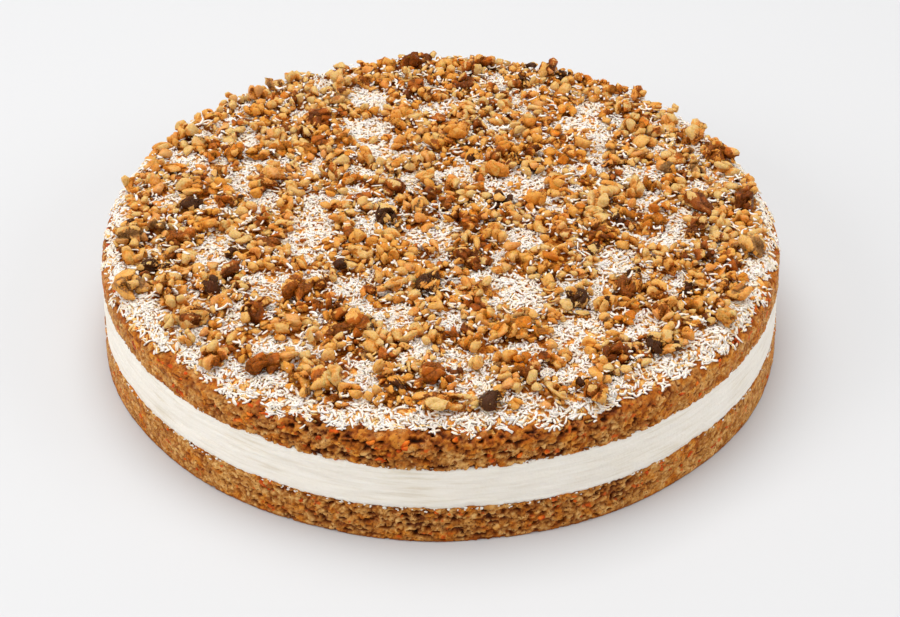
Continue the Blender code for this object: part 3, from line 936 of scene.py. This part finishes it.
# The pieces that stand out by their skin: each colour of skin, and how much of it shows from
# 0 to 1 on each piece by number. The others have a few scraps of the plain one.
SKINS = [
    (BURNT, {2: 1.0, 9: 0.45, 14: 0.5, 19: 0.7, 25: 0.8, 41: 0.7}),
    (DEEP, {8: 0.75, 12: 0.75, 13: 0.8, 16: 0.5, 22: 0.75, 32: 0.7, 33: 0.7}),
    (DEEP, {35: 0.75, 36: 0.75, 43: 0.6, 45: 0.6, 47: 0.5}),
    (CHESTNUT, {3: 0.6, 5: 0.6, 7: 0.5, 10: 0.6, 11: 0.35, 17: 0.7, 20: 0.5}),
    (CHESTNUT, {23: 0.4, 27: 0.6, 37: 0.5, 46: 0.8}),
    (RUST, {18: 0.5, 30: 0.6, 39: 0.8}),
    (GREY_SKIN, {24: 0.4, 26: 0.6, 34: 0.5}),
]
SCRAPS = 0.25
PALE_LEFT = -0.04  # left of this the roast is paler, more so the further out
ROAST_STEP = 2.2  # cream turns to honey over the first 1 / 2.2 of the tone, and then to amber

# The numbers that make one fold: the middle's three, and then these
BEARING, TILT, ROLL, LENGTH, THICKNESS, BEND = range(3, 9)


def along_folds(folds, along, across, over):
    """Points on many bent folds at once. Each fold's numbers are its middle (three), its
    bearing, tilt and roll, its length and thickness, and the angle that it bends through.

    A point is given by its place along the fold, from -1 to 1, and by its shares of half
    the thickness across and over it. The fold is an arc whose radius is its length over
    its bend. It is rolled about its length, then tilted, then turned to its bearing.
    """
    bearing, tilt, roll, length, thickness, bend = np.moveaxis(folds[..., BEARING:], -1, 0)[..., None]
    curve = length / bend
    angle = bend * along / 2
    sag = curve * (1 - np.cos(bend / 2)) / 2
    x = curve * np.sin(angle) - thickness / 2 * across * np.sin(angle)
    side = curve * (1 - np.cos(angle)) - sag + thickness / 2 * across * np.cos(angle)
    y, up = turned(side, thickness / 2 * 0.9 * over, roll)
    x, up = turned(x, up, tilt)
    x, y = turned(x, y, bearing)
    return np.stack([x, y, up], -1) + folds[..., None, :BEARING]


def folded_kernels(folds, sizes, turns, places, grid, rng):
    """Knobbly kernels, all at once, each a knot of bent folds that run into each other.

    The folds are given in a box one wide, from -0.5 to 0.5. Each is a sausage, dented by
    noise and with some flat breaks. The whole is scaled to the piece's size, turned about
    the upright and set down with its box's middle at its place. Returns points as (pieces,
    folds, points, 3), and each point's depth in a crease, from 0 to 1: near another fold,
    or inside a curl.
    """
    ball = ball_ways(*grid)
    along = ball[:, 2]
    girth = np.sqrt(1 - along**4)
    circle = ball[:, :2] / np.maximum(np.linalg.norm(ball[:, :2], axis=1), 1e-6)[:, None]
    points = along_folds(folds, along, girth * circle[:, 0], girth * circle[:, 1])
    middle = along_folds(folds, along, 0 * along, 0 * along)
    mean = sizes.mean(1)[:, None, None, None]
    own = 9.7 * np.arange(len(folds))[:, None, None, None] * [1, 0.7, 0.3]
    rough = points * mean * 1000 + own
    dent = 0.42 * soft_noise(rough, 2.3, 61) + 0.46 * soft_noise(rough, 1.2, 62)
    points = points + (points - middle) * dent[..., None]
    for _ in range(BREAKS):
        facing = unit(rng.normal(0, 1, (*folds.shape[:2], 1, 3)))
        stand = ((points - folds[..., None, :BEARING]) * facing).sum(3, keepdims=True)
        limit = stand.max(2, keepdims=True) * rng.uniform(0.4, 0.75, (*folds.shape[:2], 1, 1))
        points = points - 0.85 * np.maximum(stand - limit, 0) * facing
    stops = np.linspace(-0.8, 0.8, 4)
    spines = along_folds(folds, stops, 0 * stops, 0 * stops)
    away = np.linalg.norm(points[:, :, :, None, None] - spines[:, None, None], axis=5)
    away = away.min(4) / (folds[:, None, None, :, THICKNESS] / 2)
    away = away + 9.0 * np.eye(folds.shape[1])[None, :, None]  # its own spine doesn't count
    crease = 1 - ease(away.min(3), 0.95, 1.40)
    inner = ease(circle[:, 0] * girth, 0.1, 0.9) * ease(folds[..., BEND], 1.2, 3.0)[..., None]
    low = points.min((1, 2), keepdims=True)
    high = points.max((1, 2), keepdims=True)
    points = (points - (low + high) / 2) / (high - low) * sizes[:, None, None]
    x, y = turned(points[..., 0], points[..., 1], turns[:, None, None])
    return np.stack([x, y, points[..., 2]], 3) + places[:, None, None], np.maximum(crease, inner)


def mark_kernels(piece, points, crease, tones, skins, skin_colours, rng):
    """Stores what the walnut's paint needs at every point: the body's colour, which runs
    from cream to honey to amber with the piece's tone, its fold's and a mottle, with painted
    light making it paler on top, and paler on the cake's left; the painted shade of its
    creases and of its lower part; and how much skin is left there, and its colour, with
    painted light making the skin paler on top."""
    count, folds = points.shape[:2]
    local = points * 1000
    mottle = soft_noise(local, 1.6, 63)
    slow = soft_noise(local, 4.2, 64)
    wide = soft_noise(local, 16.0, 66)  # neighbours share some of their roast
    low = points[..., 2].min((1, 2), keepdims=True)
    rise = (points[..., 2] - low) / (points[..., 2].max((1, 2), keepdims=True) - low)
    left = np.minimum(points[..., 0] - PALE_LEFT, 0)
    tone = tones[:, None, None] + rng.normal(0, 0.14, (count, folds, 1))
    # painted light: the 0.35 * (0.60 - rise) term makes each piece paler on top and darker low down
    tone = tone + 0.14 * mottle + 0.12 * slow + 0.60 * wide + 0.35 * (0.60 - rise) + 3.5 * left
    tone = np.clip(tone, 0, 1)[..., None]
    body = CREAMY + (HONEY - CREAMY) * np.clip(tone * ROAST_STEP, 0, 1)
    body = body + (AMBER - HONEY) * np.clip(tone * ROAST_STEP - 1, 0, 1)
    rosy = ease(rng.uniform(0, 1, (count, folds, 1)) + 0.3 * slow, 0.72, 1.0)[..., None]
    body = body + (ROSY - body) * 0.6 * rosy
    mark(piece, "nut_colour", body.reshape(-1, 3))
    # painted shade: each point darker the deeper it lies in a crease and the lower it lies on its piece
    mark(piece, "nut_fold_shade", (0.95 * crease + 0.55 * (1 - ease(rise, 0.0, 0.60))).ravel())
    kept = slow + 0.7 * mottle + 0.3 * rng.uniform(-1, 1, (count, folds, 1))
    kept = kept + 0.65 * wide + 1.1 * crease + 4.0 * left
    kept = kept + 0.8 * np.minimum(rise - 0.5, 0)  # it has rubbed off low down
    mark(piece, "nut_skin", (kept + 2.1 * skins[:, None, None] - 1.65).ravel())
    coat = skin_colours[:, None, None] * (1 + 0.5 * mottle[..., None] + 0.5 * slow[..., None])
    # painted light: the skin is blended towards chestnut on top and away from the creases
    thin = 0.7 * ease(rise - 0.8 * crease, 0.2, 0.9)  # it lets the light in on top
    thin = thin * ease(skin_colours.max(1), 0.05, 0.18)[:, None, None]
    coat = coat + (CHESTNUT - coat) * thin[..., None]
    mark(piece, "skin_colour", np.clip(coat, 0.003, 1).reshape(-1, 3))


def walnut_paint():
    """Roasted walnut: honey to amber, mottled finely, with painted shade going rust and then
    deep brown down in the folds and low down, thin darker skin with ragged edges that painted
    shade turns nearly black in the folds, and an oily half gloss."""
    paint = Paint("roasted walnut", 0.4, glow=0.50, glow_depth=0.0015, glow_tint=(1.0, 0.60, 0.22))
    paint.shader.inputs["Specular IOR Level"].default_value = 0.07
    fine = paint.noise(1300, 3)
    mottle = paint.ramp(
        paint.noise(900, 4),
        (0.32, (0.84, 0.68, 0.40)),
        (0.46, (1.0, 0.96, 0.88)),
        (0.66, (1.06, 1.06, 1.04)),
    )
    body = paint.blend(0.85, paint.field("nut_colour", "Color"), mottle, "MULTIPLY")
    specks = paint.spread(paint.noise(1200, 2), 0.26, 0.36, 0.4, 1.0)
    body = paint.blend(specks, srgb(140, 76, 20), body)
    # painted shade: rust and then deep brown down in the folds and low down on each piece
    fold = paint.sum("ADD", paint.field("nut_fold_shade"), paint.spread(fine, 0.3, 0.7, -0.25, 0.25))
    body = paint.blend(paint.spread(fold, 0.40, 1.00, 0.0, 0.85), body, RUST)
    body = paint.blend(paint.spread(fold, 0.98, 1.40, 0.0, 0.75), body, srgb(96, 40, 6))
    skin = paint.sum("ADD", paint.field("nut_skin"), paint.spread(fine, 0.3, 0.7, -0.35, 0.35))
    coat = paint.blend(0.8, paint.field("skin_colour", "Color"), mottle, "MULTIPLY")
    # painted shade: the skin goes nearly black down in the folds
    coat = paint.blend(paint.spread(fold, 0.5, 1.1, 0.0, 0.7), coat, srgb(30, 12, 6))
    paint.colour(paint.blend(paint.spread(skin, -0.10, 0.15, 0.0, 0.95), body, coat))
    rough = paint.spread(paint.noise(600, 2), 0.35, 0.65, 0.24, 0.52)
    paint.gloss(paint.sum("SUBTRACT", rough, paint.spread(skin, -0.10, 0.15, 0.0, 0.08)))
    paint.bump(paint.mixed(0.75, paint.noise(460, 2), paint.noise(1300, 2)), 0.0018, 0.58)
    return paint


def knotted(count, folds, rng):
    """Folds knotted together: one in the middle and the rest wrapped round it."""
    outer = folds - 1
    share = (np.arange(outer) + rng.uniform(-0.3, 0.3, (count, outer))) / outer
    around = 2 * math.pi * share + rng.uniform(0, 2 * math.pi, (count, 1))
    away = rng.uniform(0.13, 0.30, (count, outer))
    made = np.zeros((count, folds, BEND + 1))
    made[:, 1:, 0] = away * np.cos(around)
    made[:, 1:, 1] = away * np.sin(around)
    made[:, :, 2] = rng.uniform(-0.14, 0.16, (count, folds))
    made[:, 1:, BEARING] = around + math.pi / 2 + rng.normal(0, 0.6, (count, outer))
    made[:, 0, BEARING] = rng.uniform(0, math.pi, count)
    made[:, :, TILT] = rng.normal(0, 0.4, (count, folds))
    made[:, :, ROLL] = rng.uniform(0, 2 * math.pi, (count, folds))
    made[:, :, LENGTH] = rng.uniform(0.32, 0.62, (count, folds))
    made[:, :, THICKNESS] = rng.uniform(0.30, 0.48, (count, folds))
    made[:, :, BEND] = rng.uniform(0.3, 2.2, (count, folds))
    return made


def curled(count, folds, rng):
    """One long fold that curls round a hollow, with small knobs against it."""
    made = knotted(count, folds, rng)
    made[:, 1:, LENGTH] *= 0.6
    made[:, 0, :BEARING] = 0
    made[:, 0, TILT] = rng.normal(0, 0.25, count)
    made[:, 0, ROLL] = rng.normal(0, 0.5, count)
    made[:, 0, LENGTH] = rng.uniform(1.15, 1.60, count)
    made[:, 0, THICKNESS] = rng.uniform(0.26, 0.34, count)
    made[:, 0, BEND] = rng.uniform(2.8, 4.8, count)
    return made


def smooth(count, folds, rng):
    """One thick plain fold, with the others nearly sunk in it."""
    made = knotted(count, folds, rng)
    made[:, :, :2] *= 0.6
    made[:, 0, TILT] = rng.normal(0, 0.15, count)
    made[:, 0, LENGTH] = 0.90
    made[:, 0, THICKNESS] = 0.66
    made[:, 0, BEND] = rng.uniform(0.2, 0.9, count)
    return made


def lie_of(node):
    """How a plain solid lies: its box's middle, its length, width and height, and the turn
    of its length, which is the way in which its corners spread the most."""
    flat = np.empty(len(node.data.vertices) * 3, np.float32)
    node.data.vertices.foreach_get("co", flat)
    corners = flat.reshape(-1, 3).astype(float)
    long_way = np.linalg.eigh(np.cov(corners[:, :2].T))[1][:, 1]
    turn = math.atan2(long_way[1], long_way[0])
    along, across = turned(corners[:, 0], corners[:, 1], -turn)
    size = [np.ptp(along), np.ptp(across), np.ptp(corners[:, 2])]
    return (corners.max(0) + corners.min(0)) / 2, size, turn


def kernel_piece(name, points, crease, grid, tones, skins, coats, rng):
    """One piece of one or more kernels, from their points as (kernels, folds, points, 3)."""
    balls = points.shape[0] * points.shape[1]
    quads, fans = many_balls(balls, *grid)
    piece = new_piece(name, points.reshape(-1, 3), quads, fans, nut_paint.material)
    mark_kernels(piece, points, crease, tones, skins, coats, rng)
    lay_flat(piece, ball_cells(balls, *grid))
    return piece


nut_paint = walnut_paint()
walnut_names = sorted(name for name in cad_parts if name.startswith("walnut_"))
large_count = len(walnut_names)
large_middles, large_sizes, large_turns = map(
    np.array, zip(*(lie_of(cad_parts[name]) for name in walnut_names))
)
large_places = large_middles - [0, 0, PRESSED_IN]
rng = np.random.default_rng(65)
numbers = np.arange(1, large_count + 1)[:, None, None]
shapes = knotted(large_count, LARGE_FOLDS, rng)
shapes = np.where(np.isin(numbers, CURLED), curled(large_count, LARGE_FOLDS, rng), shapes)
shapes = np.where(np.isin(numbers, SMOOTH), smooth(large_count, LARGE_FOLDS, rng), shapes)
large_points, crease = folded_kernels(
    shapes, large_sizes * LARGE_SWELL, large_turns, large_places, LARGE_GRID, rng
)
skins = np.full(large_count, SCRAPS)
coats = np.tile(CHESTNUT, (large_count, 1))
for colour, shares in SKINS:
    chosen = np.array(list(shares)) - 1
    skins[chosen] = list(shares.values())
    coats[chosen] = colour
tones = rng.uniform(0.05, 0.6, large_count)
for number, name in enumerate(walnut_names):
    own = slice(number, number + 1)
    piece = kernel_piece(
        name.replace("walnut", "kernel"), large_points[own], crease[own], LARGE_GRID,
        tones[own], skins[own], coats[own], rng,
    )
    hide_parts(name)


# ---------------------------------------------------------------------------------------
# The chopped walnuts. The rest of the kernels, chopped small and roasted: chunks the size
# of a pea, smaller bits that fill in between them, and crumbs and dust.

CHUNK_COUNT = 385
BIT_COUNT = 760
CRUMB_COUNT = 1500
TRIES = 30  # spots looked at for each piece


def sprinkle(count, rng, wanted):
    """Random places on the top, kept with the chance that wanted(x, y) gives."""
    found = np.zeros((0, 2))
    while len(found) < count:
        tried = rng.uniform(-CAKE_RADIUS, CAKE_RADIUS, (count * 4, 2))
        chance = wanted(tried[:, 0], tried[:, 1])
        found = np.concatenate([found, tried[rng.uniform(0, 1, len(tried)) < chance]])
    return found[:count]


def scatter(sizes, rng, wanted, places, reach, closeness):
    """Places for pieces of these sizes, largest first. Each takes the roomiest of a few
    wanted spots, where pieces may overlap as closeness allows. Returns their places, and
    all places and reaches so far."""
    spots = sprinkle(len(sizes) * TRIES, rng, wanted).reshape(len(sizes), TRIES, 2)
    places = list(places)
    reach = list(reach)
    for size, choice in zip(sizes, spots):
        gaps = np.linalg.norm(choice[:, None] - np.array(places)[None], axis=2)
        room = (gaps - closeness * (np.array(reach) + size / 2)).min(1)
        free = np.flatnonzero(room > 0)
        best = free[0] if len(free) else int(np.argmax(room))
        places.append(choice[best])
        reach.append(size / 2)
    return np.array(places[-len(sizes) :]), np.array(places), np.array(reach)


def nuts_wanted(x, y):
    """Where the coconut isn't bare, and not past the rim."""
    inside = np.hypot(x, y) < SHOULDER_RADIUS - 0.0045
    return (1 - bareness(x, y)) ** 3 * inside


def crumbs_wanted(x, y):
    """Crumbs lie everywhere, most of them among the nuts."""
    inside = 1 - ease(np.hypot(x, y), SHOULDER_RADIUS - 0.008, SHOULDER_RADIUS - 0.003)
    return (0.30 + 0.70 * (1 - bareness(x, y))) * inside


def chopped(name, sizes, places, folds, grid, sit, tone_range, skin_share, rng):
    """Joined pieces of chopped nut on the bed, each turned its own way. Folds holds each
    piece's folds, sit is how much of its height a piece's middle stands over the bed, and
    skin_share is how many of the pieces have kept much of their skin."""
    count = len(sizes)
    widths = sizes * rng.uniform(0.62, 0.98, count)
    tall = sizes * rng.uniform(0.45, 0.78, count)
    full = np.stack([sizes, widths, tall], 1)
    ground = bed_surface(places[:, 0], places[:, 1])
    lift = tall * sit + rng.uniform(0, 0.0013, count)
    where = np.column_stack([places, ground + lift])
    turns = rng.uniform(0, 2 * math.pi, count)
    points, crease = folded_kernels(folds, full, turns, where, grid, rng)
    skins = np.where(rng.uniform(0, 1, count) < skin_share, rng.uniform(0.40, 0.85, count), 0.14)
    choice = rng.choice(5, count, p=[0.38, 0.24, 0.24, 0.09, 0.05])
    coats = np.array([CHESTNUT, DEEP, RUST, BURNT, GREY_SKIN])[choice]
    tones = rng.uniform(*tone_range, count)
    kernel_piece(name, points, crease, grid, tones, skins, coats, rng)


rng = np.random.default_rng(71)
chunk_sizes = np.sort(rng.uniform(0.0072, 0.0116, CHUNK_COUNT))[::-1]
bit_sizes = np.sort(rng.uniform(0.0036, 0.0066, BIT_COUNT))[::-1]
crumb_sizes = rng.uniform(0.0010, 0.0025, CRUMB_COUNT)
taken = large_places[:, :2]
reach = large_sizes[:, :2].mean(1) / 2
chunk_places, taken, reach = scatter(chunk_sizes, rng, nuts_wanted, taken, reach, 0.84)
bit_places = scatter(bit_sizes, rng, nuts_wanted, taken, reach, 0.70)[0]
crumb_places = sprinkle(CRUMB_COUNT, rng, crumbs_wanted)
chunk_folds = knotted(CHUNK_COUNT, 4, rng)
curls = rng.uniform(0, 1, (CHUNK_COUNT, 1, 1)) < 0.30
chunk_folds = np.where(curls, curled(CHUNK_COUNT, 4, rng), chunk_folds)
chopped("walnut_chunks", chunk_sizes, chunk_places, chunk_folds, (7, 8), 0.38, (0.0, 0.75), 0.30, rng)
bit_folds = knotted(BIT_COUNT, 2, rng)
bit_folds[..., LENGTH] *= 0.95
bit_folds[..., THICKNESS] *= 1.25
chopped("walnut_bits", bit_sizes, bit_places, bit_folds, (5, 7), 0.42, (0.0, 0.85), 0.24, rng)
crumb_folds = knotted(CRUMB_COUNT, 2, rng)[:, :1]
chopped("walnut_crumbs", crumb_sizes, crumb_places, crumb_folds, (3, 5), 0.7, (0.1, 1.0), 0.3, rng)


# ---------------------------------------------------------------------------------------
# The desiccated coconut. Dry white shreds, most of them short and nearly straight and
# some longer and bent, sprinkled over the whole top and a little way over its edge. They
# lie across each other, so that gold shows between them.

SHRED_CORNERS = 3
OVER_EDGE = 0.0035  # this near the coconut's edge the shreds mostly follow it round

# Each kind's name, how many there are, its seed, the shortest and longest, their mean
# width, the stations along each and how much it bends
COCONUT = [
    ("coconut_shreds", 9200, 53, (0.0018, 0.0036), 0.00118, 4, 0.45),
    ("coconut_flecks", 12400, 55, (0.0010, 0.0024), 0.00114, 3, 0.3),
    ("coconut_curls", 3700, 54, (0.0032, 0.0058), 0.00106, 6, 1.0),
]


def coconut_wanted(x, y):
    """Most where the coconut lies bare, some among the nuts, fading out over the edge."""
    points = np.stack([x, y, 0 * x], -1)
    edge = coconut_edge(x, y)
    inside = 1 - ease(np.hypot(x, y), edge - 0.0016, edge + 0.0018)
    clumps = np.clip(0.85 + 0.5 * soft_noise(points, 0.0040, 52), 0, 1)
    return inside * (0.23 + 0.77 * bareness(x, y)) * clumps


def coconut_piece(name, count, seed, lengths, width, stations, bend):
    """Shreds lying on the bed: each follows the cake's top at its own height, tilts a
    little, and turns through an arc as it goes, so each step is a piece of a circle."""
    rng = np.random.default_rng(seed)
    middles = sprinkle(count, rng, coconut_wanted)
    length = rng.uniform(*lengths, count)
    facing = rng.uniform(0, 2 * math.pi, count)
    round_edge = np.arctan2(middles[:, 1], middles[:, 0]) + math.pi / 2 + rng.normal(0, 0.65, count)
    near_edge = np.hypot(*middles.T) > coconut_edge(*middles.T) - OVER_EDGE
    facing = np.where(near_edge, round_edge, facing)
    arc = rng.normal(0, bend, count)
    t = np.linspace(-1, 1, stations)
    bearing = facing[:, None] + arc[:, None] * (t[None, 1:] + t[None, :-1]) / 2
    step = length[:, None] / (stations - 1)
    start = np.zeros((count, 1))
    x = np.cumsum(np.concatenate([start, np.cos(bearing) * step], 1), 1)
    y = np.cumsum(np.concatenate([start, np.sin(bearing) * step], 1), 1)
    x += middles[:, :1] - x.mean(1, keepdims=True)
    y += middles[:, 1:] - y.mean(1, keepdims=True)
    among = 1 - bareness(middles[:, 0], middles[:, 1])
    heap = rng.uniform(0, 1, count)
    lift = 0.0001 + 0.0009 * heap + among * rng.uniform(0, 0.0034, count)
    tilt = rng.normal(0, 0.10, count)
    rise = tilt[:, None] * t * length[:, None] / 2 + rng.normal(0, 0.0003, (count, 1)) * t**2
    z = bed_surface(x, y) + lift[:, None] + rise
    z = np.maximum(z, sponge_surface(np.hypot(x, y)) + 0.0002)
    line = np.stack([x, y, z], 2)
    way = unit(np.gradient(line, axis=1))
    side = unit(np.cross(np.array([0, 0, 1.0]), way))
    above = np.cross(way, side)
    widths = width * rng.uniform(0.75, 1.3, count)
    roll = math.pi - rng.uniform(0, 2 * math.pi, count)
    taper = 1 - 0.30 * np.abs(t) ** 4
    points = shred_tubes(line, side, above, widths, widths * 0.7, taper, SHRED_CORNERS, roll)
    quads, caps = shred_faces(count, stations, SHRED_CORNERS)
    points = points.reshape(-1, 3)
    piece = new_piece(name, points, quads, caps, coconut_paint.material)
    mark(piece, "heap", np.repeat(heap, stations * SHRED_CORNERS))
    lay_flat(piece, shred_map(count, stations, SHRED_CORNERS))


coconut_paint = Paint(
    "desiccated coconut", 0.5, glow=0.30, glow_depth=0.0014, glow_tint=(1.0, 0.68, 0.40)
)
dry = coconut_paint.ramp(
    coconut_paint.noise(230, 2),
    (0.30, srgb(247, 226, 198)),
    (0.42, srgb(251, 237, 219)),
    (0.60, srgb(253, 242, 229)),
)
# partly a moist stain, partly painted shade: the lowest shreds, which lie most in shadow, go golden
stain_and_shade = coconut_paint.sum("ADD", coconut_paint.field("heap"), coconut_paint.noise(420, 2))
coconut_paint.colour(
    coconut_paint.blend(coconut_paint.spread(stain_and_shade, 0.56, 0.82), srgb(240, 184, 104), dry)
)
coconut_paint.bump(coconut_paint.noise(2600, 2), 0.0001)
for kind in COCONUT:
    coconut_piece(*kind)


# ---------------------------------------------------------------------------------------
# The studio: a pale floor, a large soft light overhead, one to each side and a camera.

CAMERA_DISTANCE = 0.8232
CAMERA_RISE = math.radians(34.98)
CAMERA_AIM = 0.0238
CAMERA_LENS = 79.35
CAMERA_SHIFT = (0.0104, -0.0459)
FLOOR_REACH = 6.0
FLOOR_GREY = (0.60, 0.60, 0.605)
ROOM_LIGHT = 0.67

floor_mesh = bpy.data.meshes.new("floor")
floor_corners = [(-1, -1, 0), (1, -1, 0), (1, 1, 0), (-1, 1, 0)]
floor_mesh.from_pydata((FLOOR_REACH * np.array(floor_corners)).tolist(), [], [(0, 1, 2, 3)])
floor = bpy.data.objects.new("floor", floor_mesh)
bpy.context.scene.collection.objects.link(floor)
floor_paint = Paint("pale floor", 0.7)
floor_paint.colour(FLOOR_GREY)
floor_mesh.materials.append(floor_paint.material)

world = bpy.data.worlds.new("soft room")
world.use_nodes = True
background = world.node_tree.nodes["Background"]
background.inputs["Color"].default_value = (1, 1, 1, 1)
background.inputs["Strength"].default_value = ROOM_LIGHT
bpy.context.scene.world = world


def soft_light(name, place, size, power):
    """A square area light at a place, facing the foot of the cake."""
    lamp = bpy.data.lights.new(name, "AREA")
    lamp.size = size
    lamp.energy = power
    holder = bpy.data.objects.new(name, lamp)
    bpy.context.scene.collection.objects.link(holder)
    holder.location = place
    flat = math.hypot(place[0], place[1])
    holder.rotation_euler = (math.atan2(flat, place[2]), 0, math.atan2(place[0], -place[1]))


soft_light("overhead", (-0.15, 0.30, 1.5), 1.2, 16.6)
soft_light("left", (-1.5, -0.7, 1.0), 0.9, 12)
soft_light("right", (1.5, -0.5, 1.0), 0.9, 7)

lens = bpy.data.cameras.new("camera")
lens.lens = CAMERA_LENS
lens.sensor_width = 36
lens.shift_x, lens.shift_y = CAMERA_SHIFT
camera = bpy.data.objects.new("camera", lens)
camera.location = (
    0,
    -CAMERA_DISTANCE * math.cos(CAMERA_RISE),
    CAMERA_AIM + CAMERA_DISTANCE * math.sin(CAMERA_RISE),
)
camera.rotation_euler = (math.pi / 2 - CAMERA_RISE, 0, 0)
bpy.context.scene.collection.objects.link(camera)
bpy.context.scene.camera = camera
bpy.context.scene.view_settings.view_transform = "Standard"
